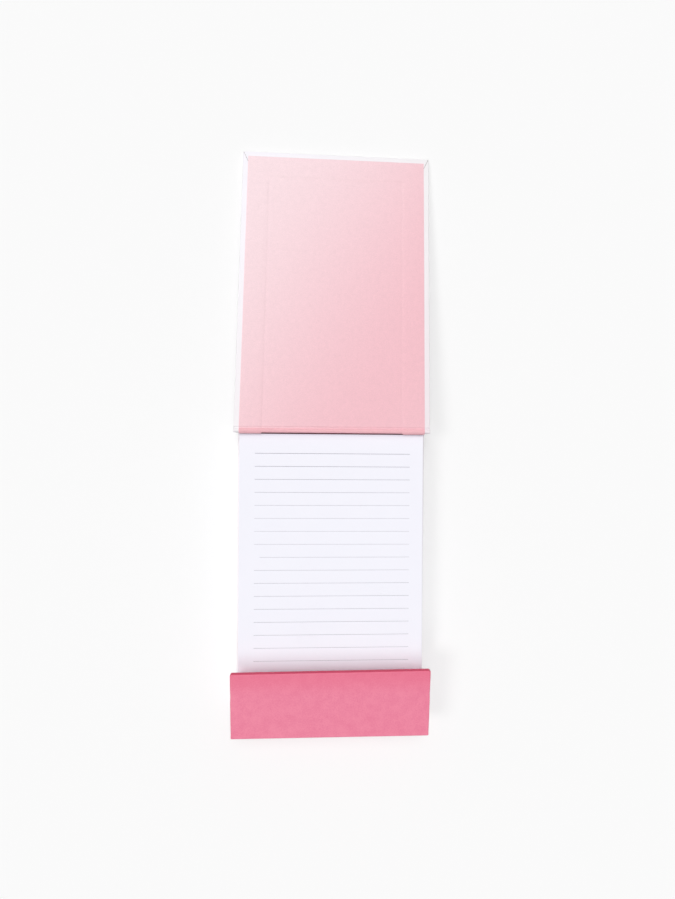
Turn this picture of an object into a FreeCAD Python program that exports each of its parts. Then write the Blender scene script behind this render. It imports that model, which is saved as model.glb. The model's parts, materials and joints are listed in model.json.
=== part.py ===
import FreeCAD, Part
import Sketcher
import os
from math import asin, atan2, degrees, hypot

# Flip notepad in a hard case. Five greyboard panels, the back, the spine, the front cover, the
# bottom wall and the closing flap, are wrapped in one printed paper and lined with another. The
# page pad is glued to the back panel and to the spine. The cover folds over the spine and is
# modelled opened out, with its free end on the table. The flap is raised a little.
# X is across the case, +Y runs from the foot of the pad to its bound head, and +Z is up. The
# origin is the centre of the closed case's underside.

doc = FreeCAD.newDocument("flip_notepad")
sheet = doc.addObject("Spreadsheet::Sheet", "Sizes")
pieces = []


class Size:
    """A length held as a number to draw with, and as the expression that binds it."""

    def __init__(self, value, text):
        self.value = value
        self.text = text

    def __add__(self, other):
        return Size(self.value + other.value, f"({self.text} + {other.text})")

    def __sub__(self, other):
        return Size(self.value - other.value, f"({self.text} - {other.text})")

    def __mul__(self, factor):
        return Size(self.value * factor, f"({self.text} * {factor})")

    def __truediv__(self, divisor):
        return Size(self.value / divisor, f"({self.text} / {divisor})")


def cell(row, alias, value):
    """Keep one driving dimension in the sheet."""
    sheet.set(f"A{row}", alias)
    sheet.set(f"B{row}", str(value))
    sheet.setAlias(f"B{row}", alias)
    return Size(value, f"Sizes.{alias}")


# Driving dimensions, in millimetres
case_width = cell(1, "case_width", 107.6)
case_length = cell(2, "case_length", 168.0)
board = cell(3, "board_thickness", 2.0)
wrap = cell(4, "wrap_thickness", 0.2)
lining = cell(5, "lining_thickness", 0.25)
turn_in = cell(6, "turn_in_width", 15.0)
margin = cell(7, "lining_margin", 3.0)
crease_gap = cell(8, "crease_gap", 2.0)
board_gap = cell(9, "board_end_gap", 0.3)
foot_gap = cell(10, "foot_gap", 3.0)
cover_length = cell(11, "cover_length", 159.0)
flap_length = cell(12, "flap_length", 35.0)
cover_axis_height = cell(13, "cover_axis_height", 19.0)
flap_axis_height = cell(14, "flap_axis_height", 21.75)
pad_width = cell(15, "pad_width", 101.6)
pad_length = cell(16, "pad_length", 158.5)
pad_top = cell(17, "pad_top_height", 17.3)
card = cell(18, "card_thickness", 0.8)
glue = cell(19, "glue_thickness", 0.3)
glue_drop = cell(20, "glue_below_pad_top", 0.8)
FLAP_RAISE_DEGREES = 6.4

# Levels in a panel that lies flat, outer face down
nothing = Size(0.0, "0")
half_panel = wrap + board / 2
board_top = wrap + board
panel_top = board_top + wrap
over_top = panel_top + board
lining_top = panel_top + lining

# Stations along the back panel and the spine, measured from the back panel's foot
cover_axis = case_length - foot_gap - half_panel
spine_inner = cover_axis - half_panel
pad_head = spine_inner - lining - glue
pad_foot = pad_head - pad_length
pad_bottom = lining_top + card

# Stations along a panel, measured from its crease
cover_end = crease_gap + cover_length
flap_end = crease_gap + flap_length

# Widths across the case
board_width = case_width - wrap * 2
lining_width = case_width - margin * 2
window_width = case_width - turn_in * 2


def new_piece(label, place):
    """Start the body of one physical piece, named and placed."""
    body = doc.addObject("PartDesign::Body", label)
    body.Label = label
    body.Placement = place
    pieces.append(body)
    return body


def pin_down(sketch, edge, end, along, height):
    """Bind one end of an edge to its two sizes."""
    for kind, axis, size in (("DistanceX", -2, along), ("DistanceY", -1, height)):
        if size.value == 0:
            sketch.addConstraint(Sketcher.Constraint("PointOnObject", edge, end, axis))
        else:
            rule = Sketcher.Constraint(kind, -1, 1, edge, end, size.value)
            index = sketch.addConstraint(rule)
            sketch.setExpression(f"Constraints[{index}]", size.text)


def outline(body, name, corners):
    """Sketch a closed section on the body's YZ plane, anticlockwise.

    A corner is (along, height), with a straight edge leading to it. With a radius added, a
    quarter round leads to it, which bulges outwards unless the word hollow is added too.
    """
    sketch = body.newObject("Sketcher::SketchObject", name)
    side = [plane for plane in body.Origin.OriginFeatures if plane.Role == "YZ_Plane"][0]
    sketch.AttachmentSupport = [(side, "")]
    sketch.MapMode = "FlatFace"
    points = [FreeCAD.Vector(corner[0].value, corner[1].value, 0) for corner in corners]
    edges = []
    for number, corner in enumerate(corners):
        start, end = points[number - 1], points[number]
        if len(corner) == 2:
            edge = sketch.addGeometry(Part.LineSegment(start, end), False)
            edges.append((edge, 1, 2))
            continue
        hollow = len(corner) == 4
        chord = end - start
        left = FreeCAD.Vector(-chord.y, chord.x, 0)
        centre = (start + end) / 2 + left / (-2 if hollow else 2)
        first, last = (end, start) if hollow else (start, end)
        begin = atan2(first.y - centre.y, first.x - centre.x)
        finish = atan2(last.y - centre.y, last.x - centre.x)
        circle = Part.Circle(centre, FreeCAD.Vector(0, 0, 1), corner[2].value)
        edge = sketch.addGeometry(Part.ArcOfCircle(circle, begin, finish), False)
        edges.append((edge, 2, 1) if hollow else (edge, 1, 2))
        index = sketch.addConstraint(Sketcher.Constraint("Radius", edge, corner[2].value))
        sketch.setExpression(f"Constraints[{index}]", corner[2].text)
    for number, (edge, _, far) in enumerate(edges):
        following, near, _ = edges[(number + 1) % len(edges)]
        sketch.addConstraint(Sketcher.Constraint("Coincident", edge, far, following, near))
        pin_down(sketch, edge, far, corners[number][0], corners[number][1])
    return sketch


def run_across(body, kind, name, width, corners):
    """Carry a section through the given width, centred: a Pad adds it, a Pocket removes it."""
    feature = body.newObject(f"PartDesign::{kind}", name)
    feature.Profile = outline(body, f"{name}_section", corners)
    feature.SideType = "Symmetric"
    feature.setExpression("Length", width.text)


def slab(near, far, low, high):
    """Section of a flat layer."""
    return [(near, low), (far, low), (far, high), (near, high)]


def rounded_slab(near, axis, low, high, radius):
    """Section of a flat layer whose far end is a half round about a crease axis."""
    return [(near, low), (axis, low), (axis + radius, half_panel, radius),
            (axis, high, radius), (near, high)]


def rounded_skin(near, axis, low, high, inner_radius, outer_radius):
    """Section of a sheet that lies flat, then bends down over the crease axis."""
    return [(near, low), (axis, low), (axis + inner_radius, half_panel, inner_radius, "hollow"),
            (axis + outer_radius, half_panel), (axis, high, outer_radius), (near, high)]


def case_section(inset):
    """Section of the back panel with the spine standing at its head, set in from the faces."""
    radius = half_panel - inset
    return [(nothing, inset), (cover_axis, inset), (cover_axis + radius, half_panel, radius),
            (cover_axis + radius, cover_axis_height),
            (cover_axis, cover_axis_height + radius, radius),
            (cover_axis - radius, cover_axis_height, radius),
            (cover_axis - radius, panel_top - inset), (nothing, panel_top - inset)]


def case_skin(low, high):
    """Section of a sheet inside the case, between two heights above the board's inner face.

    It runs along the back panel, up the spine and over the inner half of the rounded crease.
    """
    board_face = cover_axis - board / 2
    inner, outer = board / 2 + low, board / 2 + high
    return [(nothing, board_top + low), (board_face - low, board_top + low),
            (board_face - low, cover_axis_height),
            (cover_axis, cover_axis_height + inner, inner, "hollow"),
            (cover_axis, cover_axis_height + outer),
            (board_face - high, cover_axis_height, outer),
            (board_face - high, board_top + high), (nothing, board_top + high)]


# Placements: the axes that the cover and the flap fold about, and how each panel lies
back_foot = foot_gap.value - case_length.value / 2
at_back_foot = FreeCAD.Placement(FreeCAD.Vector(0, back_foot, 0), FreeCAD.Rotation())
axis_below = FreeCAD.Placement(FreeCAD.Vector(0, 0, -half_panel.value), FreeCAD.Rotation())
turned_over = FreeCAD.Placement(FreeCAD.Vector(), FreeCAD.Rotation(FreeCAD.Vector(0, 1, 0), 180))


def folded_about(along, height, angle):
    """Placement at a crease axis, turned about it by an angle in degrees."""
    turn = FreeCAD.Rotation(FreeCAD.Vector(1, 0, 0), angle)
    return FreeCAD.Placement(FreeCAD.Vector(0, along, height), turn)


def cover_slope():
    """Angle, in degrees, at which the open cover's far lower edge just meets the table."""
    reach = hypot(cover_end.value, half_panel.value)
    lean = atan2(half_panel.value, cover_end.value)
    return degrees(asin(cover_axis_height.value / reach) - lean)


cover_axis_along = case_length.value / 2 - half_panel.value
cover_crease = folded_about(cover_axis_along, cover_axis_height.value, -cover_slope())
cover_place = cover_crease.multiply(axis_below)
flap_crease = folded_about(-cover_axis_along, flap_axis_height.value, FLAP_RAISE_DEGREES)
flap_place = flap_crease.multiply(turned_over).multiply(axis_below)
upright = FreeCAD.Rotation(FreeCAD.Vector(0, 0, 1), 180)
upright = upright.multiply(FreeCAD.Rotation(FreeCAD.Vector(1, 0, 0), 90))
wall_place = FreeCAD.Placement(FreeCAD.Vector(0, -case_length.value / 2, 0), upright)


# Greyboard panels: plain die-cut boards, each kept a little short of its crease
back_board = new_piece("back_board", at_back_foot)
run_across(back_board, "Pad", "back_panel", board_width,
           slab(nothing, cover_axis - board / 2 - board_gap, wrap, board_top))

spine_board = new_piece("spine_board", at_back_foot)
run_across(spine_board, "Pad", "spine_panel", board_width,
           slab(cover_axis - board / 2, cover_axis + board / 2,
                half_panel, cover_axis_height - board_gap))

for label, place, far in (("cover_board", cover_place, cover_end),
                          ("flap_board", flap_place, flap_end)):
    panel = new_piece(label, place)
    run_across(panel, "Pad", f"{label}_panel", board_width,
               slab(crease_gap, far - wrap, wrap, board_top))

bottom_board = new_piece("bottom_board", wall_place)
run_across(bottom_board, "Pad", "bottom_panel", board_width,
           slab(board_gap, flap_axis_height - board_gap, wrap, board_top))


# Printed wrap: outside paper, folded round the edges and turned in over the boards. It is one
# sheet, parted here at the creases that move. The pocket through the turned-in layer leaves a
# border of turned-in paper along each free edge.
wrap_base = new_piece("wrap_base", at_back_foot)
run_across(wrap_base, "Pad", "base_outside", case_width, case_section(nothing))
run_across(wrap_base, "Pocket", "base_board_space", board_width, case_section(wrap))
run_across(wrap_base, "Pocket", "base_window", window_width,
           slab(nothing, cover_axis, half_panel, cover_axis_height + over_top))

for label, place, far in (("wrap_cover", cover_place, cover_end),
                          ("wrap_flap", flap_place, flap_end)):
    sleeve = new_piece(label, place)
    run_across(sleeve, "Pad", f"{label}_outside", case_width,
               slab(crease_gap, far, nothing, panel_top))
    run_across(sleeve, "Pocket", f"{label}_board_space", board_width,
               slab(crease_gap / 2, far - wrap, wrap, board_top))
    run_across(sleeve, "Pocket", f"{label}_window", window_width,
               slab(crease_gap / 2, far - turn_in, half_panel, over_top))

wrap_bottom = new_piece("wrap_bottom", wall_place)
run_across(wrap_bottom, "Pad", "bottom_outside", case_width,
           rounded_slab(board_gap, flap_axis_height, nothing, panel_top, half_panel))
run_across(wrap_bottom, "Pocket", "bottom_board_space", board_width,
           rounded_slab(board_gap / 2, flap_axis_height, wrap, board_top, board / 2))
run_across(wrap_bottom, "Pocket", "bottom_window", window_width,
           slab(board_gap / 2, flap_axis_height + over_top, half_panel, over_top))


# Lining: inside paper, pasted over the turned-in borders and straight on to the board between
# them, so its middle lies lower than its edges by the thickness of the wrap.
lining_base = new_piece("lining_base", at_back_foot)
run_across(lining_base, "Pad", "base_lining_edges", lining_width, case_skin(wrap, wrap + lining))
run_across(lining_base, "Pocket", "base_lining_step", window_width,
           case_skin(lining, wrap + lining))
run_across(lining_base, "Pad", "base_lining_middle", window_width, case_skin(nothing, lining))

for label, place, far in (("lining_cover", cover_place, cover_end),
                          ("lining_flap", flap_place, flap_end)):
    sheet_body = new_piece(label, place)
    run_across(sheet_body, "Pad", f"{label}_edges", lining_width,
               slab(crease_gap, far - margin, panel_top, lining_top))
    run_across(sheet_body, "Pocket", f"{label}_step", window_width,
               slab(crease_gap / 2, far - turn_in, board_top + lining, over_top))
    run_across(sheet_body, "Pad", f"{label}_middle", window_width,
               slab(crease_gap, far - turn_in, board_top, board_top + lining))

lining_bottom = new_piece("lining_bottom", wall_place)
run_across(lining_bottom, "Pad", "bottom_lining_edges", lining_width,
           rounded_skin(board_gap, flap_axis_height, panel_top, lining_top,
                        half_panel, half_panel + lining))
run_across(lining_bottom, "Pocket", "bottom_lining_step", window_width,
           rounded_skin(board_gap / 2, flap_axis_height, board_top + lining, over_top,
                        board / 2 + lining, over_top - half_panel))
run_across(lining_bottom, "Pad", "bottom_lining_middle", window_width,
           rounded_skin(board_gap, flap_axis_height, board_top, board_top + lining,
                        board / 2, board / 2 + lining))


# Page pad: a stack of ruled sheets on a backing card, gummed along the head
backing_card = new_piece("backing_card", at_back_foot)
run_across(backing_card, "Pad", "card_sheet", pad_width,
           slab(pad_foot, pad_head, lining_top, pad_bottom))

page_block = new_piece("page_block", at_back_foot)
run_across(page_block, "Pad", "page_stack", pad_width,
           slab(pad_foot, pad_head, pad_bottom, pad_top))

head_glue = new_piece("head_glue", at_back_foot)
run_across(head_glue, "Pad", "glue_layer", pad_width,
           slab(pad_head, pad_head + glue, pad_bottom, pad_top - glue_drop))


doc.recompute()
for item in doc.Objects:
    if "Invalid" in item.State or "Error" in item.State:
        raise RuntimeError(f"{item.Label} did not compute")
for piece in pieces:
    if piece.Shape.isNull() or not piece.Shape.isValid() or len(piece.Shape.Solids) != 1:
        raise RuntimeError(f"{piece.Label} is not one sound solid")

os.makedirs("parts", exist_ok=True)
for piece in pieces:
    piece.Shape.exportStep(f"parts/{piece.Label}.step")
    box = piece.Shape.BoundBox
    print(f"{piece.Label:14} {piece.Shape.Volume:10.1f} mm3"
          f"  x {box.XMin:7.2f} {box.XMax:7.2f}"
          f"  y {box.YMin:7.2f} {box.YMax:7.2f}  z {box.ZMin:6.2f} {box.ZMax:6.2f}")
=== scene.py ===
import json
import random
from math import cos, pi, radians, sin

import bmesh
import bpy
from mathutils import Matrix, Vector


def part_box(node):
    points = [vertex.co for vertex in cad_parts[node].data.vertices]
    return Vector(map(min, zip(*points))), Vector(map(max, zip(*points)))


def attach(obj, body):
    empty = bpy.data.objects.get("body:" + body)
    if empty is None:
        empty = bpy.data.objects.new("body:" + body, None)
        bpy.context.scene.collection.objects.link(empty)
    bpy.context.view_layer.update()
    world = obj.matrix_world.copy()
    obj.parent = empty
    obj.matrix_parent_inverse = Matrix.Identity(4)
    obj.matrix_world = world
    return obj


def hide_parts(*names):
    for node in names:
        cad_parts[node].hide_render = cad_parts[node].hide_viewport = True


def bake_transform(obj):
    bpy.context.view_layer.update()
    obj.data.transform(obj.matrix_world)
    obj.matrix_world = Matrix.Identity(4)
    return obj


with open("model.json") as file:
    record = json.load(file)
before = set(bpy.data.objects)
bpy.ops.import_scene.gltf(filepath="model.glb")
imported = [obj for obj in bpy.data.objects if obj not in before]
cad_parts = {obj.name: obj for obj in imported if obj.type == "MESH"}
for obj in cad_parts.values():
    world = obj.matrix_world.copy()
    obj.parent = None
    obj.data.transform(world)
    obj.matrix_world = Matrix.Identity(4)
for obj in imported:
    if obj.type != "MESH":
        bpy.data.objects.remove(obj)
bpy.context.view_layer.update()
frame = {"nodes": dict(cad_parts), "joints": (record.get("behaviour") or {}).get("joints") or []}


# --- Greyboards ---------------------------------------------------------------------------------
# Five stiff panels die-cut from grey pulp board make the case. The wrapping press leaves their
# edges slightly soft. Each is glued between the printed wrap and the lining, which hide it.

MM = 0.001
BOARD_SOFTENING = 0.45 * MM
SHARP_FROM = 35

joints = {joint["name"]: joint for joint in frame["joints"]}
# A wrapped panel folds about a line in the middle of its thickness, half a panel above its face.
half_panel = (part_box("wrap_bottom")[1].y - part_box("wrap_bottom")[0].y) / 2


def crease(joint_name):
    """The middle of the crease that a panel folds about."""
    return Vector(joints[joint_name]["pos_m"])


def turned(axis, degrees):
    return Matrix.Rotation(radians(degrees), 4, axis)


# A panel's own frame has its crease along X, Y running away from it, and Z towards the lining.
base_place = Matrix.Translation((0, 0, half_panel))
cover_drop = joints["cover_hinge"]["range_deg"][1] - 180
cover_place = Matrix.Translation(crease("cover_hinge")) @ turned("X", -cover_drop)
wall_place = (Matrix.Translation(crease("bottom_hinge") + Vector((0, half_panel, 0)))
              @ turned("Z", 180) @ turned("X", 90))
flap_raise = -joints["flap_hinge"]["range_deg"][0]
flap_place = (Matrix.Translation(crease("flap_hinge")) @ turned("X", flap_raise)
              @ turned("Y", 180))


def box_in(place, node):
    """Lowest and highest corner of a CAD node, in a panel's own frame."""
    corners = [place.inverted() @ vertex.co for vertex in frame["nodes"][node].data.vertices]
    return [Vector(pick(corner[axis] for corner in corners) for axis in range(3))
            for pick in (min, max)]


def block(bm, low, high):
    """Add a plain block between two corners."""
    size = Matrix.Diagonal((*(high - low), 1))
    return bmesh.ops.create_cube(bm, size=1, matrix=Matrix.Translation((low + high) / 2) @ size)


def round_off(bm, edges, radius, segments):
    bmesh.ops.bevel(bm, geom=edges, offset=radius, segments=segments, profile=0.5,
                    affect="EDGES", material=-1, clamp_overlap=True)


def make_piece(name, bm, finishes, place=Matrix(), smooth=False):
    """Turn a finished mesh into an object that sits at the origin."""
    bm.transform(place)
    mesh = bpy.data.meshes.new(name)
    bm.to_mesh(mesh)
    bm.free()
    for finish in finishes:
        mesh.materials.append(finish)
    if smooth:
        mesh.shade_smooth()
        mesh.set_sharp_from_angle(angle=radians(SHARP_FROM))
    piece = bpy.data.objects.new(name, mesh)
    bpy.context.scene.collection.objects.link(piece)
    return piece


class Tone:
    """A value on a surface. Sums with it add the Math nodes that work them out."""

    def __init__(self, tree, socket):
        self.tree = tree
        self.socket = socket

    def node(self, kind, settings, inputs, output=0):
        """Add a node, set it up, feed its inputs, and give one of its outputs."""
        made = self.tree.nodes.new(kind)
        for name, value in settings.items():
            setattr(made, name, value)
        for name, value in inputs.items():
            if isinstance(value, Tone):
                self.tree.links.new(value.socket, made.inputs[name])
            else:
                made.inputs[name].default_value = value
        return Tone(self.tree, made.outputs[output] if made.outputs else None)

    def math(self, operation, *values):
        return self.node("ShaderNodeMath", {"operation": operation}, dict(enumerate(values)))

    def __add__(self, other):
        return self.math("ADD", self, other)

    def __sub__(self, other):
        return self.math("SUBTRACT", self, other)

    def __rsub__(self, other):
        return self.math("SUBTRACT", other, self)

    def __mul__(self, other):
        return self.math("MULTIPLY", self, other)

    __radd__ = __add__
    __rmul__ = __mul__

    def along(self, axis):
        """One coordinate of a place on the surface."""
        return self.node("ShaderNodeSeparateXYZ", {}, {"Vector": self}, output="XYZ".index(axis))

    def cloud(self, size, detail=2.0, stretch=(1, 1, 1)):
        """Noise from 0 to 1, with lumps of about the given size."""
        place = self.node("ShaderNodeMapping", {}, {"Vector": self, "Scale": stretch})
        return self.node("ShaderNodeTexNoise", {},
                         {"Vector": place, "Scale": 1 / size, "Detail": detail})

    def ease(self, start, end):
        """0 up to start and 1 from end on, with a soft change between them."""
        return self.node("ShaderNodeMapRange", {"interpolation_type": "SMOOTHSTEP"},
                         {"Value": self, "From Min": start, "From Max": end})

    def blend(self, none, full):
        """A colour that goes from none to full as the value goes from 0 to 1."""
        # The Mix node has a set of like-named sockets for each kind of data.
        factor, first_colour, second_colour, mixed_colour = 0, 6, 7, 2
        return self.node("ShaderNodeMix", {"data_type": "RGBA"},
                         {factor: self, first_colour: none, second_colour: full}, mixed_colour)

    def shaded(self, factor):
        """A colour made lighter or darker by a factor."""
        return self.node("ShaderNodeVectorMath", {"operation": "SCALE"},
                         {0: self, "Scale": factor})

    def lay(self, roughness, relief, depth, gloss=0.5):
        """Finish the material with this colour, over a relief of the given depth."""
        normal = self.node("ShaderNodeBump", {}, {"Height": relief, "Distance": depth})
        surface = self.node("ShaderNodeBsdfPrincipled", {},
                            {"Base Color": self, "Roughness": roughness, "Normal": normal,
                             "Specular IOR Level": gloss})
        self.node("ShaderNodeOutputMaterial", {}, {"Surface": surface})


def new_finish(name):
    """A blank material, and the place on the surface that its pattern starts from."""
    finish = bpy.data.materials.new(name)
    finish.use_nodes = True
    finish.node_tree.nodes.clear()
    places = finish.node_tree.nodes.new("ShaderNodeTexCoord")
    return finish, Tone(finish.node_tree, places.outputs["Object"])


greyboard, here = new_finish("greyboard")
pulp = here.cloud(1.2 * MM, detail=4.0)
fibres = here.cloud(0.5 * MM, stretch=(1, 0.2, 1))
pulp_colour = (0.45 * pulp + 0.55 * fibres).blend((0.17, 0.15, 0.13, 1), (0.42, 0.39, 0.35, 1))
pulp_colour.lay(roughness=0.95, relief=pulp, depth=0.05 * MM, gloss=0.2)


def soft_board(node, place, body):
    bm = bmesh.new()
    block(bm, *box_in(place, node))
    round_off(bm, bm.edges[:], BOARD_SOFTENING, 2)
    board = make_piece(node + "_panel", bm, [greyboard], place)
    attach(board, body)
    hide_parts(node)
    return board


soft_board("back_board", base_place, "base")
soft_board("spine_board", base_place, "base")
cover_board = soft_board("cover_board", cover_place, "cover")
soft_board("bottom_board", wall_place, "bottom_wall")
flap_board = soft_board("flap_board", flap_place, "flap")


# --- White wrap ---------------------------------------------------------------------------------
# Printed paper round the outside of the back panel, spine and cover. It is glued on, folded over
# the board edges and turned in, with slanting cuts at the cover's far corners, where the two
# turned-in strips part a little and the board shows through.

PAPER = 0.2 * MM
EDGE_ROUND = 0.4 * MM
EDGE_STEPS = 5
TURN_IN = 15 * MM
SEAM_SLANT = 25
SEAM_GAP = 0.2 * MM
SEAM_INSET = 0.2 * MM
WAVY_BORDER = 2 * MM
WAVE_PITCH = 4 * MM
LEVEL_FACE = 0.85

white_wrap, here = new_finish("white_wrap")
fine = here.cloud(0.7 * MM, detail=3.0)
broad = here.cloud(9 * MM)
left_to_right = here.along("X").ease(-0.06, 0.06)
# The white is painted with shade: darker and pinker towards the cover's crease, and darker on the
# right, as the light falls off away from the far left.
to_free_end = here.along("Y").ease(0.06, 0.25)
left_shade_colour = to_free_end.blend((0.875, 0.832, 0.856, 1), (0.915, 0.890, 0.944, 1))
right_shade_colour = to_free_end.blend((0.835, 0.762, 0.799, 1), (0.863, 0.840, 0.856, 1))
wrap_colour_with_shade = left_to_right.blend(left_shade_colour, right_shade_colour)
wrap_colour_with_shade = wrap_colour_with_shade.shaded(0.97 + 0.03 * fine + 0.03 * broad)
wrap_colour_with_shade.lay(roughness=0.5, relief=fine, depth=0.012 * MM, gloss=0.4)

white_edge, here = new_finish("white_edge")
fine = here.cloud(0.7 * MM, detail=3.0)
# The rounded edges are painted a darker grey-white, a painted shade where they turn away from the
# light.
edge_shade = fine.blend((0.80, 0.77, 0.78, 1), (0.90, 0.87, 0.88, 1))
edge_shade.lay(roughness=0.6, relief=fine, depth=0.012 * MM, gloss=0.3)


def at(vertices, axis, value):
    """Whether all of an edge's or a face's vertices lie at one coordinate."""
    return all(abs(vertex.co[axis] - value) < 1e-6 for vertex in vertices)


def cut(bm, faces, point, normal):
    """Part the faces where a plane meets them."""
    parts = set(faces)
    parts.update(edge for face in faces for edge in face.edges)
    parts.update(vertex for face in faces for vertex in face.verts)
    bmesh.ops.bisect_plane(bm, geom=list(parts), dist=1e-7, plane_co=point, plane_no=normal)


def drop_faces(bm, faces):
    bmesh.ops.delete(bm, geom=faces, context="FACES")


def open_window(bm, inner_side, window_end):
    """Cut the board's bare middle out of the turned-in side, between the turned-in strips."""
    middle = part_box("wrap_cover")[1].x - TURN_IN
    for side in (-1, 1):
        cut(bm, [face for face in bm.faces if inner_side(face)], (side * middle, 0, 0), (1, 0, 0))
    if window_end:
        cut(bm, [face for face in bm.faces if inner_side(face)], (0, window_end, 0), (0, 1, 0))
    drop_faces(bm, [face for face in bm.faces if inner_side(face)
                    and abs(face.calc_center_median().x) < middle
                    and (not window_end or face.calc_center_median().y < window_end)])


def cut_seams(bm, corner, window_end):
    """Part the turned-in strips along a slanting seam at each far corner."""
    slant = Vector((sin(radians(SEAM_SLANT)), cos(radians(SEAM_SLANT)), 0))
    for side in (-1, 1):
        point = Vector((side * corner.x, corner.y, 0))
        along = Vector((side * slant.x, slant.y, 0))
        across = Vector((along.y, -along.x, 0))

        def near_corner(face):
            middle = face.calc_center_median()
            return (face.normal.z > 0.2 and middle.y > window_end - 1e-6
                    and middle.x * side > 0)

        for shift in (-SEAM_GAP / 2, SEAM_GAP / 2):
            cut(bm, [face for face in bm.faces if near_corner(face)],
                point + across * shift, across)
        drop_faces(bm, [face for face in bm.faces if near_corner(face)
                        and abs((face.calc_center_median() - point).dot(across)) < SEAM_GAP / 2])


def wrapped_panel(node, place, finishes, corner_round, waviness):
    """Paper round a flat panel: its outside, its rounded edges and its turned-in strips.

    The first finish is for the flat faces, and the second for the edges.
    """
    low, high = box_in(place, node)
    bm = bmesh.new()
    block(bm, low, high)
    round_off(bm, [edge for edge in bm.edges
                   if at(edge.verts, 1, high.y) and edge.verts[0].co.x == edge.verts[1].co.x],
              corner_round, EDGE_STEPS)
    round_off(bm, [edge for edge in bm.edges if not at(edge.verts, 1, low.y)
                   and (at(edge.verts, 2, low.z) or at(edge.verts, 2, high.z))],
              EDGE_ROUND, EDGE_STEPS)
    window_end = high.y - TURN_IN
    open_window(bm, lambda face: at(face.verts, 2, high.z), window_end)
    cut_seams(bm, Vector((high.x - SEAM_INSET, high.y, 0)), window_end)
    stations = int((high.y - low.y) / WAVE_PITCH)
    for number in range(1, stations):
        station = low.y + (high.y - low.y) * number / stations
        cut(bm, bm.faces[:], (0, station, 0), (0, 1, 0))
    for vertex in bm.verts:
        sway = sin(vertex.co.y * 190) + 0.6 * sin(vertex.co.y * 410 + 1)
        if abs(vertex.co.x) > high.x - WAVY_BORDER:
            vertex.co.x -= abs(sway) * waviness * (1 if vertex.co.x > 0 else -1)
    for face in bm.faces:
        face.material_index = abs(face.normal.z) < LEVEL_FACE
    bmesh.ops.solidify(bm, geom=bm.faces[:], thickness=PAPER)
    return make_piece(node + "_paper", bm, finishes, place)


cover_paper = wrapped_panel("wrap_cover", cover_place, [white_wrap, white_edge],
                            corner_round=0.7 * MM, waviness=0.02 * MM)
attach(cover_paper, "cover")
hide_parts("wrap_cover")

# The back panel and the spine share one piece of the wrap, bent up at the pad's head. It goes on
# over the spine's top edge to where the lining starts, and as turned-in strips below that.

HEEL_ROUND = 0.9 * MM
INNER_ROUND = 0.6 * MM
FOLD_STEPS = 7

base_low, base_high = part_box("wrap_base")
spine_inside = base_high.y - 2 * half_panel
lining_start = base_high.y - 1.75 * half_panel
bm = bmesh.new()
block(bm, base_low, Vector((base_high.x, base_high.y, 2 * half_panel)))
cut(bm, bm.faces[:], (0, spine_inside, 0), (0, 1, 0))
spine_foot = [face for face in bm.faces if face.normal.z > 0.5
              and face.calc_center_median().y > spine_inside]
raised = bmesh.ops.extrude_face_region(bm, geom=spine_foot)["geom"]
bmesh.ops.translate(bm, vec=(0, 0, base_high.z - 2 * half_panel),
                    verts=[part for part in raised if isinstance(part, bmesh.types.BMVert)])
drop_faces(bm, [face for face in spine_foot if face.is_valid])
for height, along, radius in ((base_high.z, None, half_panel), (0, base_high.y, HEEL_ROUND),
                              (2 * half_panel, spine_inside, INNER_ROUND)):
    round_off(bm, [edge for edge in bm.edges
                   if at(edge.verts, 2, height) and edge.verts[0].co.x != edge.verts[1].co.x
                   and (along is None or at(edge.verts, 1, along))], radius, FOLD_STEPS)
bmesh.ops.remove_doubles(bm, verts=bm.verts[:], dist=0.005 * MM)
bmesh.ops.dissolve_degenerate(bm, dist=0.001 * MM, edges=bm.edges[:])
for side in (base_low.x, base_high.x):
    round_off(bm, [edge for edge in bm.edges if at(edge.verts, 0, side)
                   and not at(edge.verts, 1, base_low.y)], EDGE_ROUND, EDGE_STEPS)


def across_the_case(face):
    """Whether a face looks along neither side, as the papers' edges do."""
    return abs(face.normal.x) < 0.1


def faces_the_pad(face):
    middle = face.calc_center_median()
    return middle.y < lining_start and middle.z > half_panel and across_the_case(face)


open_window(bm, faces_the_pad, None)
bmesh.ops.solidify(bm, geom=bm.faces[:], thickness=PAPER)
base_paper = make_piece("wrap_base_paper", bm, [white_wrap])
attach(base_paper, "base")
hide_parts("wrap_base")


# --- Pink wrap ----------------------------------------------------------------------------------
# The same outside paper, printed deep pink where it covers the bottom wall and the flap. The ink
# is slightly mottled, and its colour is set deeper on the board edges.

FLAP_END = -46 * MM
WALL_TOP_ROUND = 1.1 * MM
WALL_TOP_GAP = 0.2 * MM
WALL_SIDE_ROUND = 0.3 * MM
HAIR = 0.1 * MM

pink_wrap, here = new_finish("pink_wrap")
fine = here.cloud(0.7 * MM, detail=3.0)
patches = here.cloud(5 * MM)
ink = (0.45 * patches + 0.55 * fine).ease(0.3, 0.7)
pink_colour = ink.blend((0.783, 0.187, 0.301, 1), (0.842, 0.239, 0.352, 1))
# The colour deepens towards the flap's free end.
at_free_end = 0.45 * here.along("Y").ease(FLAP_END - 16 * MM, FLAP_END)
pink_colour = at_free_end.blend(pink_colour, (0.75, 0.10, 0.19, 1))
pink_colour.lay(roughness=0.5, relief=fine, depth=0.015 * MM, gloss=0.4)

pink_edge, here = new_finish("pink_edge")
fine = here.cloud(0.7 * MM, detail=3.0)
deep_colour = fine.blend((0.60, 0.045, 0.11, 1), (0.68, 0.075, 0.15, 1))
deep_colour.lay(roughness=0.5, relief=fine, depth=0.015 * MM, gloss=0.3)

flap_paper = wrapped_panel("wrap_flap", flap_place, [pink_wrap, pink_edge],
                           corner_round=1.1 * MM, waviness=0.12 * MM)
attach(flap_paper, "flap")
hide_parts("wrap_flap")

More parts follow.
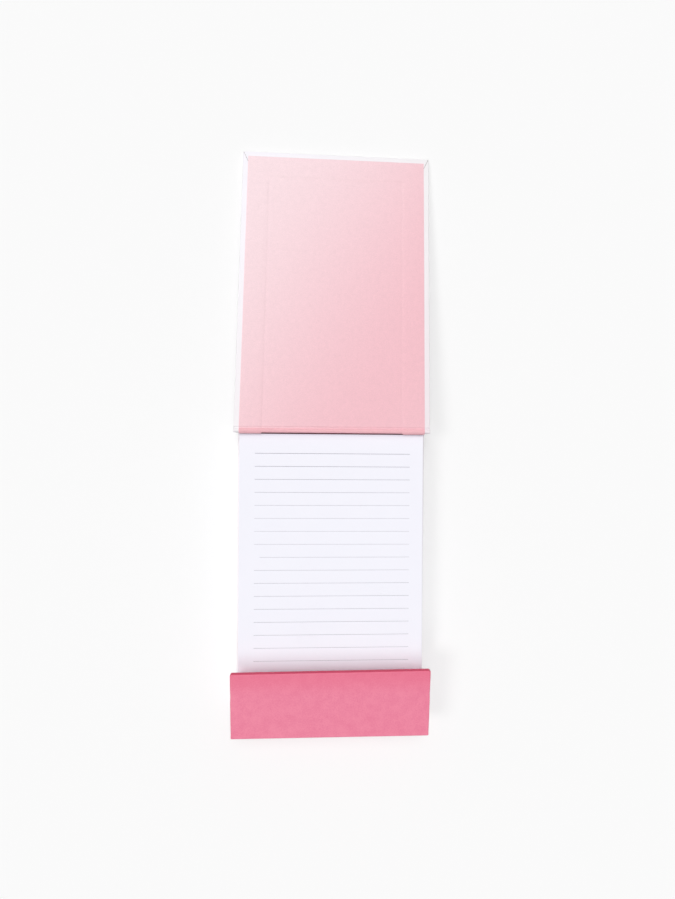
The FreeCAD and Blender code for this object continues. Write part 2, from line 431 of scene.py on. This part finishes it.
wall_low, wall_high = box_in(wall_place, "wrap_bottom")
wall_high.y -= WALL_TOP_GAP
bm = bmesh.new()
block(bm, wall_low, wall_high)
round_off(bm, [edge for edge in bm.edges if at(edge.verts, 1, wall_high.y)
               and edge.verts[0].co.z == edge.verts[1].co.z], WALL_TOP_ROUND, EDGE_STEPS)
round_off(bm, [edge for edge in bm.edges if (at(edge.verts, 0, wall_low.x)
               or at(edge.verts, 0, wall_high.x)) and not at(edge.verts, 1, wall_low.y)],
          WALL_SIDE_ROUND, 4)


def under_wall_lining(face):
    middle = face.calc_center_median()
    inner = middle.z > HAIR or middle.y > wall_high.y - WALL_TOP_ROUND
    return inner and across_the_case(face) and middle.y > wall_low.y + HAIR


open_window(bm, under_wall_lining, None)
bmesh.ops.solidify(bm, geom=bm.faces[:], thickness=PAPER)
wall_paper = make_piece("wrap_bottom_paper", bm, [pink_wrap], wall_place)
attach(wall_paper, "bottom_wall")
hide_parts("wrap_bottom")


# --- Lining -------------------------------------------------------------------------------------
# Uncoated paper, printed pale pink. Its colour is painted paler towards the cover's free end and
# its left, a painted sheen and light, and deeper towards the pad's side of the cover. It is pasted
# over the turned-in strips and straight on to the board between them, so it sinks by the thickness
# of the wrap inside their edges, and the paste leaves it faintly uneven.

LINING = 0.25 * MM
LINING_MARGIN = 3 * MM
STEP = 0.9 * MM
STEP_STATIONS = (-0.5, -0.25, 0, 0.25, 0.5)
SEAM_DIP = 0.7
SEAM_LEAN = 0.35
BULGE = 1.7
# Where the back's part of the lining meets the cover's, in degrees round the cover's crease.
LINING_SEAM = 136

cover_near, cover_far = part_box("wrap_cover")[0].y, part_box("wrap_cover")[1].y
cover_length = cover_far - cover_near
half_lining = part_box("lining_base")[1].x

pink_lining, here = new_finish("pink_lining")
left_to_right = here.along("X") * (0.5 / half_lining) + 0.5
to_free_end = (here.along("Y") - cover_near) * (1 / cover_length)
# Painted sheen and light: paler towards the free end and the left, deeper towards the crease and
# the right.
sheen_fade = (0.5 * left_to_right + 0.5 * (1 - to_free_end)).ease(0.0, 0.88)
grain = here.cloud(0.55 * MM, detail=2.0)
felt = here.cloud(2.4 * MM)
lining_colour = sheen_fade.blend((0.946, 0.750, 0.785, 1), (0.887, 0.524, 0.579, 1))
# Off the cover, in its crease and inside the case, the colour is deeper still.
off_cover = (cover_near - here.along("Y")).ease(0.4 * MM, 1.0 * MM)
lining_colour = off_cover.blend(lining_colour, (0.89, 0.490, 0.540, 1))
lining_colour = lining_colour.shaded(0.88 + 0.17 * grain + 0.07 * felt)
lining_colour.lay(roughness=0.8, relief=grain, depth=0.03 * MM, gloss=0.25)

over_lining = half_panel + LINING
strip_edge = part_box("wrap_cover")[1].x - TURN_IN
wall_top = crease("flap_hinge").yz
spine_top = crease("cover_hinge").yz


def straight(start, end, steps):
    """Points of a path in the YZ plane, from its start up to the one before its end."""
    return [Vector(start).lerp(Vector(end), number / steps) for number in range(steps)]


def arc(centre, radius, start, end, steps, end_radius=None):
    """Points round a centre in the YZ plane, by degrees up from Y."""
    points = []
    for number in range(steps + 1):
        angle = radians(start + (end - start) * number / steps)
        reach = radius + ((end_radius or radius) - radius) * number / steps
        points.append(centre + reach * Vector((cos(angle), sin(angle))))
    return points


def on_panel(place, along, height):
    return (place @ Vector((0, along, height))).yz


def lengths_of(path):
    lengths = [0]
    for before, after in zip(path, path[1:]):
        lengths.append(lengths[-1] + (after - before).length)
    return lengths


def follow(bm, path):
    """Bend a flat sheet so that its Y runs along a path and its Z stands to the path's left."""
    lengths = lengths_of(path)
    runs = [(after - before).normalized() for before, after in zip(path, path[1:])]
    heads = [(before + after).normalized() for before, after in
             zip([runs[0]] + runs, runs + [runs[-1]])]
    for vertex in bm.verts:
        x, distance, height = vertex.co
        number = 0
        while number < len(runs) - 1 and distance > lengths[number + 1]:
            number += 1
        share = (distance - lengths[number]) / (lengths[number + 1] - lengths[number])
        place = path[number].lerp(path[number + 1], share)
        head = heads[number].lerp(heads[number + 1], share)
        vertex.co = (x, place.x - head.y * height, place.y + head.x * height)
    bm.normal_update()


def ramp(distance):
    """The soft rise of the lining over the edge of a turned-in strip, from 0 to 1."""
    share = min(max(distance / STEP + 0.5, 0), 1)
    return share * share * (3 - 2 * share)


def lining_sheet(name, path, free_end=None, bulge_at=None):
    """A lining laid along a path, sunk between the turned-in strips that it covers.

    A strip also crosses its free end, 0 for the path's start or 1 for its end. The slanting seams
    between the strips show through as shallow dips. Given a length along the path to bulge at, it
    stands off there over the strips at its two sides.
    """
    total = lengths_of(path)[-1]
    inset = TURN_IN - LINING_MARGIN
    bm = bmesh.new()
    bmesh.ops.create_grid(bm, x_segments=32, y_segments=1, size=1, matrix=Matrix.Translation(
        (0, total / 2, 0)) @ Matrix.Diagonal((half_lining, total / 2, 1, 1)))
    stations = lengths_of(path)[1:-1]
    if free_end is not None:
        stations += [abs(free_end * total - inset + shift * STEP) for shift in STEP_STATIONS]
    for station in stations:
        cut(bm, bm.faces[:], (0, station, 0), (0, 1, 0))
    for shift in STEP_STATIONS:
        for side in (-1, 1):
            cut(bm, bm.faces[:], (side * (strip_edge + shift * STEP), 0, 0), (1, 0, 0))
    for vertex in bm.verts:
        x, y = vertex.co.x, vertex.co.y
        level = ramp(abs(x) - strip_edge)
        if free_end is not None:
            from_end = abs(y - free_end * total)
            level = max(level, ramp(inset - from_end))
            from_seam = half_lining - abs(x) - from_end * SEAM_LEAN
            dip = SEAM_DIP * ramp(-from_seam - SEAM_GAP)
            level -= dip * ramp(inset - from_end) * ramp(from_end - 2 * MM)
        if bulge_at is not None:
            rise = max(0, 1 - abs(y - bulge_at) / MM)
            level += BULGE * rise * ramp(abs(x) - strip_edge)
        level += 0.07 * sin(x * 260 + y * 90) + 0.06 * sin(y * 330 - x * 70 + 1)
        vertex.co.z = (level - 1) * PAPER
    follow(bm, path)
    bmesh.ops.solidify(bm, geom=bm.faces[:], thickness=LINING)
    lining = make_piece(name, bm, [pink_lining], smooth=True)
    return lining


def panel_path(place, start, end, height, rows):
    """Points along the middle of a flat panel, between two distances from its crease."""
    return [on_panel(place, start + (end - start) * row / rows, height)
            for row in range(rows + 1)]


low, high = box_in(cover_place, "lining_cover")
path = panel_path(cover_place, low.y, high.y, high.z, 44)
cover_lining = lining_sheet("lining_cover_paper", path, free_end=1)
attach(cover_lining, "cover")
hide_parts("lining_cover")

# The open cover has been pulled a little askew in its crease, most at its free end.

COVER_PULL = 1.9 * MM
for piece in (cover_board, cover_paper, cover_lining):
    for vertex in piece.data.vertices:
        pull = COVER_PULL * (vertex.co.y - cover_near) / cover_length
        vertex.co.y -= vertex.co.x * pull / cover_length
        vertex.co.x += pull

low, high = box_in(flap_place, "lining_flap")
path = panel_path(flap_place, high.y, low.y, high.z, 10)
flap_lining = lining_sheet("lining_flap_paper", path, free_end=0)
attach(flap_lining, "flap")
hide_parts("lining_flap")

# The flap was cut a little out of square, so that it is shorter on the left.

FLAP_SLANT = 0.8 * MM
flap_low, flap_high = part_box("wrap_flap")
for piece in (flap_board, flap_paper, flap_lining):
    for vertex in piece.data.vertices:
        outwards = (vertex.co.y - flap_low.y) / (flap_high.y - flap_low.y)
        leftwards = (flap_high.x - vertex.co.x) / (flap_high.x - flap_low.x)
        vertex.co.y -= FLAP_SLANT * outwards * leftwards

# The back's lining runs up to the pad's head, up the spine and on to its rounded top edge. At the
# start of that edge it bulges over the turned-in strips, which closes the gap at the pad's head.

SEAM_STEPS = 4

back_level = half_panel + over_lining
spine_face = spine_top.x - over_lining
turn = Vector((spine_face - INNER_ROUND, back_level + INNER_ROUND))
path = straight((base_low.y, back_level), (turn.x, back_level), 30)
path += arc(turn, INNER_ROUND, -90, 0, 4)[:-1]
path += straight((spine_face, turn.y), spine_top - Vector((over_lining, 0)), 12)
path += arc(spine_top, over_lining, 180, LINING_SEAM, SEAM_STEPS)
edge_start = lengths_of(path)[-1 - SEAM_STEPS]
base_lining = lining_sheet("lining_base_paper", path, bulge_at=edge_start)
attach(base_lining, "base")
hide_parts("lining_base")

# The wall's lining starts on the outside of the wall's top edge, in the flap's crease. It goes
# over that edge inside the wrap's roundness, and comes out to its full height on the way down.

wall_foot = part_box("lining_bottom")[0].z
wall_face = wall_top + Vector((over_lining, 0))
wall_round = half_panel - 0.01 * MM
outer_side, inner_side = 190, 25
path = arc(wall_top, wall_round, outer_side, inner_side, 16)[:-1]
path += arc(wall_top, wall_round, inner_side, 0, 4, over_lining)[:-1]
path += straight(wall_face, (wall_face.x, wall_foot), 8) + [Vector((wall_face.x, wall_foot))]
wall_lining = lining_sheet("lining_bottom_paper", path)
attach(wall_lining, "bottom_wall")
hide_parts("lining_bottom")


# --- Creases ------------------------------------------------------------------------------------
# Between two boards the case is paper only: the wrap outside, its turned-in strips at the sides,
# and the lining over them. At the cover and the flap this paper moves with the panel and slips
# under its neighbour on the rounded board edge.

CREASE_GAP = 2 * MM
LAP = 0.6 * MM
PROUD = 0.02 * MM
GROOVE = 0.55 * MM


def wrap_crease(name, path, finish, windowed=False, depth=1.05 * MM):
    """Wrap across a crease, folded in at both sides. The turned-in strips leave the middle out."""
    half_width = base_high.x - (0.05 if windowed else 0.1) * MM
    lengths = lengths_of(path)
    bm = bmesh.new()
    block(bm, Vector((-half_width, 0, -depth)), Vector((half_width, lengths[-1], 0)))
    round_off(bm, [edge for edge in bm.edges if at(edge.verts, 2, 0)
                   and edge.verts[0].co.x == edge.verts[1].co.x], EDGE_ROUND, EDGE_STEPS)
    drop_faces(bm, [face for face in bm.faces if at(face.verts, 2, -depth)
                    or at(face.verts, 1, 0) or at(face.verts, 1, lengths[-1])])
    if windowed:
        open_window(bm, lambda face: at(face.verts, 2, 0), None)
    for station in lengths[1:-1]:
        cut(bm, bm.faces[:], (0, station, 0), (0, 1, 0))
    follow(bm, path)
    bmesh.ops.solidify(bm, geom=bm.faces[:], thickness=PAPER)
    paper = make_piece(name, bm, [finish])
    return paper


def over_spine(level, first):
    """A path over the spine's top and down into the groove before the cover."""
    reach = GROOVE + over_lining + PROUD
    middle = spine_top + reach * Vector((cos(radians(45)), sin(radians(45))))
    path = arc(spine_top, level + PROUD, first, 45, 12)[:-1]
    path += arc(middle, reach - level - PROUD, 225, 300, 8)
    return path + [on_panel(cover_place, CREASE_GAP, level + PROUD)]


# At the cover the slack of the outside paper hangs in a narrow fold behind the spine.

under_cover = on_panel(cover_place, CREASE_GAP, -half_panel - PROUD)
fold_width = (under_cover.x - spine_top.x - half_panel - PROUD) / 2
fold_top = spine_top + Vector((half_panel + PROUD + fold_width, -0.6 * MM))
path = [on_panel(cover_place, CREASE_GAP + LAP, -half_panel - PROUD), under_cover]
path += arc(fold_top, fold_width, 0, 180, 12)
path.append(path[-1] - Vector((0, LAP)))
paper = wrap_crease("cover_crease_outside", path, white_wrap, depth=0.8 * MM)
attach(paper, "cover")
paper = wrap_crease("cover_crease_turn_in", over_spine(half_panel, 110), white_wrap,
                    windowed=True)
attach(paper, "cover")
paper = lining_sheet("cover_crease_lining", over_spine(over_lining, LINING_SEAM + 2))
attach(paper, "cover")

# At the flap the outside paper is tight over the wall, and the inside papers sag between boards.

path = arc(wall_top, half_panel + PROUD, 186, 90 + flap_raise, 9)
path += straight(on_panel(flap_place, 0.2 * MM, -half_panel - PROUD),
                 on_panel(flap_place, CREASE_GAP + LAP, -half_panel - PROUD), 8)
paper = wrap_crease("flap_crease_outside", path, pink_wrap)
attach(paper, "flap")

SAG = 0.3
SAG_STEPS = 14
under_flap = on_panel(flap_place, CREASE_GAP, over_lining)
span = wall_face - under_flap
path = [under_flap.lerp(wall_face, step / SAG_STEPS)
        + Vector((span.y, -span.x)) * SAG * sin(pi * step / SAG_STEPS)
        for step in range(SAG_STEPS + 1)]
behind = -span.orthogonal().normalized() * LINING
paper = wrap_crease("flap_crease_turn_in", [point + behind for point in path],
                    pink_wrap, windowed=True, depth=0.5 * MM)
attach(paper, "flap")
paper = lining_sheet("flap_crease_lining", path)
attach(paper, "flap")

# At the foot the paper turns a sharp corner outside, and bridges the gap between the boards inside.

FOOT_ROUND = 0.8 * MM
foot = crease("bottom_hinge").yz
turn = foot + Vector((FOOT_ROUND, FOOT_ROUND)) - Vector((0, PROUD))
path = straight((base_low.y + LAP, -PROUD), (turn.x, -PROUD), 6)
path += arc(turn, FOOT_ROUND, -90, -180, 8)
path.append(Vector((path[-1].x, 0.3 * MM + LAP)))
paper = wrap_crease("foot_crease_outside", path, white_wrap, depth=0.7 * MM)
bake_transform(paper)

gap = base_low.y - 0.15 * MM
gap_top = wall_foot + 0.5 * MM
gap_round = 0.3 * MM
lead_in = Vector((wall_face.x - 0.3 * MM, wall_foot + 0.35 * MM))
path = [lead_in] + straight((wall_face.x + PROUD, wall_foot + 0.3 * MM), (gap, gap_top), 2)
path += straight((gap, gap_top), (gap, back_level - gap_round), 8)
path += arc(Vector((gap + gap_round, back_level + PROUD - gap_round)), gap_round, 180, 90, 4)
path.append(Vector((base_low.y + LAP, back_level + PROUD)))
paper = lining_sheet("foot_crease_lining", path)
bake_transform(paper)

corner = Vector((gap + LINING, back_level - LINING))
path = [lead_in] + straight((corner.x, gap_top), corner, 3)
path += [corner, Vector((base_low.y + LAP, corner.y))]
paper = wrap_crease("foot_crease_turn_in", path, white_wrap, windowed=True,
                    depth=0.5 * MM)
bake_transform(paper)

# At each end of the foot crease the turned-in paper is pinched into a thicker tuck.

TUCK = 1.0 * MM

bm = bmesh.new()
side_face = base_high.x - 0.16 * MM
for side in (-1, 1):
    middle = side * (side_face - TUCK / 2)
    block(bm, Vector((middle - TUCK / 2, -1, 0)), Vector((middle + TUCK / 2, 0, 1)))
for height in (0.2, 0.4, 0.6, 0.8):
    cut(bm, bm.faces[:], (0, 0, height), (0, 0, 1))
for vertex in bm.verts:
    height = vertex.co.z * 2 * half_panel
    on_base = Vector((base_low.y, height))
    on_wall = Vector((foot.x + height, foot.y + wall_foot))
    vertex.co.yz = on_base.lerp(on_wall, -vertex.co.y)
paper = make_piece("foot_crease_sides", bm, [white_wrap])
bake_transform(paper)


# --- Backing card -------------------------------------------------------------------------------
# Grey-brown chipboard under the sheets, guillotined with them. It keeps the pad flat.

chipboard, here = new_finish("chipboard")
chips = here.cloud(0.9 * MM, detail=4.0, stretch=(1, 0.5, 1))
chip_colour = chips.blend((0.27, 0.225, 0.18, 1), (0.46, 0.40, 0.33, 1))
chip_colour.lay(roughness=0.95, relief=chips, depth=0.03 * MM, gloss=0.2)

CARD_SOFTENING = 0.08 * MM
card_low, card_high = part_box("backing_card")
bm = bmesh.new()
block(bm, card_low, card_high)
round_off(bm, bm.edges[:], CARD_SOFTENING, 2)
card = make_piece("backing_card_panel", bm, [chipboard])
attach(card, "base")
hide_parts("backing_card")


# --- Pad ----------------------------------------------------------------------------------------
# Ruled writing paper, knocked up square at the glued head and trimmed on the other three sides.
# The block is drawn as bundles of sheets that lie a hair out of line, with a loose top sheet.

BUNDLE = 0.5 * MM
BUNDLE_SLIP = 0.12 * MM
BUNDLE_SOFTENING = 0.05 * MM
TRIM_SLIP = 0.3 * MM
HEAD_GAP = 0.12 * MM
SHEET = 0.1 * MM

page_paper, here = new_finish("page_paper")
tooth = here.cloud(0.5 * MM, detail=2.0)
sheets = here.cloud(0.35 * MM, stretch=(0.03, 0.03, 1))
page_colour = (0.5 * tooth + 0.5 * sheets).blend((0.885, 0.88, 0.955, 1), (0.925, 0.92, 0.985, 1))
# The sheets are painted with shade: greyer close to the glue at the head, where the spine shades
# them, and with a dark painted shadow along their right-hand edge, most at the head.
# Painted shade from the spine, greyest at the head.
head_shade = (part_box("page_block")[1].y - here.along("Y")).ease(-2 * MM, 4 * MM)
page_colour = head_shade.blend((0.755, 0.745, 0.845, 1), page_colour)
# A painted shadow along the right-hand edge, darkest at the head.
right_edge_shadow = here.along("X").ease(50.3 * MM, 50.8 * MM) * here.along("Y").ease(-0.08, 0.10)
page_colour = (0.6 * right_edge_shadow).blend(page_colour, (0.30, 0.24, 0.24, 1))
page_colour.lay(roughness=0.85, relief=tooth, depth=0.012 * MM, gloss=0.25)

page_low, page_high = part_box("page_block")
page_high.y -= HEAD_GAP
order = random.Random(4)
bundles = round((page_high.z - page_low.z) / BUNDLE)
bm = bmesh.new()
for number in range(bundles):
    low = page_low.lerp(page_high, number / bundles)
    high = page_low.lerp(page_high, (number + 1) / bundles)
    slip = order.uniform(-BUNDLE_SLIP, BUNDLE_SLIP)
    block(bm, Vector((page_low.x + slip, page_low.y + order.uniform(0, TRIM_SLIP), low.z)),
          Vector((page_high.x + slip, page_high.y, high.z)))
round_off(bm, bm.edges[:], BUNDLE_SOFTENING, 1)
pad = make_piece("page_block_sheets", bm, [page_paper])
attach(pad, "base")
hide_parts("page_block")


def sheet_height(x, y):
    """The top sheet lies almost flat, and lifts a hair and ripples towards its free foot."""
    from_head = (page_high.y - y) / (page_high.y - page_low.y)
    lift = 0.05 * from_head ** 3 * (1 + 0.5 * sin(x * 60 + 1))
    return page_high.z + (0.02 + lift + 0.03 * from_head * sin(x * 110 + y * 50)) * MM


bm = bmesh.new()
size = Matrix.Diagonal(((page_high.x - page_low.x) / 2, (page_high.y - page_low.y) / 2, 1, 1))
middle = (page_low + page_high) / 2
bmesh.ops.create_grid(bm, x_segments=30, y_segments=40, size=1,
                      matrix=Matrix.Translation((middle.x, middle.y, 0)) @ size)
for vertex in bm.verts:
    vertex.co.z = sheet_height(vertex.co.x, vertex.co.y) + SHEET / 2
bmesh.ops.solidify(bm, geom=bm.faces[:], thickness=SHEET)
top_sheet = make_piece("top_sheet", bm, [page_paper], smooth=True)
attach(top_sheet, "base")

# Twenty grey ruled lines, college spaced. The ninth is printed a little short on its left.

RULES = 20
SHORT_RULE = 9
SHORT_BY = 3 * MM
RULE_SPACING = 7.14 * MM
FIRST_RULE = 10.74 * MM
RULE_WIDTH = 0.2 * MM
RULE_MARGIN = 8.0 * MM
RULE_SHIFT = 0.38 * MM
RULE_HEIGHT = 0.03 * MM
RULE_STEPS = 24

ruling, here = new_finish("ruling")
flow = here.cloud(3 * MM, detail=3.0)
# The ink is heavy at the head, thins out quickly, and is a little heavier again at the foot.
towards_foot = -1 * here.along("Y")
thinness = 0.3 * flow + 0.66 * towards_foot.ease(-0.075, -0.03)
thinness = thinness - 0.26 * towards_foot.ease(-0.04, 0.03)
rule_colour = thinness.blend((0.16, 0.15, 0.20, 1), (0.72, 0.71, 0.76, 1))
rule_colour.lay(roughness=0.8, relief=flow, depth=0.002 * MM, gloss=0.25)

bm = bmesh.new()
for number in range(RULES):
    y = page_high.y - FIRST_RULE - number * RULE_SPACING
    x_start = page_low.x + RULE_MARGIN + RULE_SHIFT
    if number + 1 == SHORT_RULE:
        x_start += SHORT_BY
    x_end = page_high.x - RULE_MARGIN + RULE_SHIFT
    block(bm, Vector((x_start, y - RULE_WIDTH / 2, 0)),
          Vector((x_end, y + RULE_WIDTH / 2, RULE_HEIGHT)))
    for step in range(1, RULE_STEPS):
        rule = [face for face in bm.faces if abs(face.calc_center_median().y - y) < MM]
        cut(bm, rule, (x_start + (x_end - x_start) * step / RULE_STEPS, 0, 0), (1, 0, 0))
for vertex in bm.verts:
    vertex.co.z += sheet_height(vertex.co.x, vertex.co.y) + SHEET / 2
rules = make_piece("ruled_lines", bm, [ruling])
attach(rules, "base")


# --- Head glue ----------------------------------------------------------------------------------
# Dark red padding gum, brushed along the head up to just short of the top sheet. It holds the
# sheets and joins the pad to the spine. Its near-black colour is a painted shadow for the dark gap
# between the pad's head and the lining.

GLUE_OVER_PAGES = 0.25 * MM
GLUE_INTO_LINING = 0.18 * MM
GLUE_STEPS = 40
GLUE_ROUND = 0.08 * MM

gum, here = new_finish("pad_glue")
ripple = here.cloud(3 * MM, stretch=(1, 1, 2))
# Painted shadow: the gum is drawn nearly black.
gum_shadow_colour = ripple.blend((0.055, 0.003, 0.004, 1), (0.10, 0.009, 0.011, 1))
gum_shadow_colour.lay(roughness=0.6, relief=ripple, depth=0.05 * MM, gloss=0.15)

glue_low, glue_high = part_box("head_glue")
bm = bmesh.new()
glue_low.y -= GLUE_OVER_PAGES
glue_high.y += GLUE_INTO_LINING
glue_high.z = page_high.z + 0.05 * MM
block(bm, glue_low, glue_high)
for step in range(1, GLUE_STEPS):
    cut(bm, bm.faces[:], (glue_low.lerp(glue_high, step / GLUE_STEPS).x, 0, 0), (1, 0, 0))
# The bead's near edge wanders, and its top is uneven.
for vertex in bm.verts:
    if vertex.co.y < glue_low.y + 0.01 * MM:
        vertex.co.y -= 0.28 * cos(vertex.co.x * 30 + 0.9) * MM
    if vertex.co.z > glue_low.z + MM:
        vertex.co.z -= (0.15 + 0.15 * sin(vertex.co.x * 340) * sin(vertex.co.x * 130 + 1)) * MM
round_off(bm, [edge for edge in bm.edges if edge.calc_face_angle(0) > 1], GLUE_ROUND, 2)
glue = make_piece("head_glue_bead", bm, [gum], smooth=True)
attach(glue, "base")
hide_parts("head_glue")


# --- Stage --------------------------------------------------------------------------------------
# A plain pale floor and an even pale surround, with three broad, soft, distant lamps. The one from
# the left is the lowest, so the longest shadow falls to the right.

FLOOR_REACH = 6
FLOOR_GLOW = 0.32
SKY_LIGHT = 0.26
SKY_SEEN = 0.96

floor_finish, here = new_finish("floor")
seen = here.node("ShaderNodeLightPath", {}, {})
matt = here.node("ShaderNodeBsdfDiffuse", {}, {"Color": (0.95, 0.95, 0.95, 1)})
bright = here.node("ShaderNodeEmission", {}, {"Color": (0.956, 0.956, 0.956, 1)})
mixed = here.node("ShaderNodeMixShader", {}, {0: FLOOR_GLOW * seen, 1: matt, 2: bright})
here.node("ShaderNodeOutputMaterial", {}, {"Surface": mixed})
bm = bmesh.new()
bmesh.ops.create_grid(bm, x_segments=1, y_segments=1, size=FLOOR_REACH,
                      matrix=Matrix.Translation((0, 0, -0.05 * MM)))
floor = make_piece("floor", bm, [floor_finish])


def soft_lamp(name, towards, share, spread):
    """A distant lamp that gives a level surface the given share of its full light."""
    lamp = bpy.data.lights.new(name, "SUN")
    direction = Vector(towards).normalized()
    lamp.energy = share * pi / direction.z
    lamp.angle = radians(spread)
    lamp_object = bpy.data.objects.new(name, lamp)
    lamp_object.rotation_euler = direction.to_track_quat("Z", "Y").to_euler()
    bpy.context.scene.collection.objects.link(lamp_object)


soft_lamp("lamp_from_foot", towards=(-0.10, -0.55, 1), share=0.19, spread=36)
soft_lamp("lamp_from_left", towards=(-0.72, 0.0, 1), share=0.17, spread=20)
soft_lamp("lamp_from_head", towards=(0.0, 0.50, 1), share=0.39, spread=30)

surround = bpy.data.worlds.new("surround")
surround.use_nodes = True
surround.node_tree.nodes.clear()
rays = surround.node_tree.nodes.new("ShaderNodeLightPath").outputs
seen_directly = Tone(surround.node_tree, rays["Is Camera Ray"])
in_gloss = Tone(surround.node_tree, rays["Is Glossy Ray"])
level = seen_directly.math("MAXIMUM", seen_directly, in_gloss)
level = level * (SKY_SEEN - SKY_LIGHT) + SKY_LIGHT
sky = level.node("ShaderNodeBackground", {}, {"Color": (1, 1, 1, 1), "Strength": level})
level.node("ShaderNodeOutputWorld", {}, {"Surface": sky})
bpy.context.scene.world = surround

camera = bpy.data.cameras.new("camera")
camera.lens = 20.19
camera.sensor_width = 36
camera_object = bpy.data.objects.new("camera", camera)
camera_object.location = (-0.01019, 0.07422, 0.29522)
camera_object.rotation_euler = (-0.00634, -0.04709, 0.00746)
bpy.context.scene.collection.objects.link(camera_object)
bpy.context.scene.camera = camera_object

bpy.context.scene.view_settings.view_transform = "Standard"
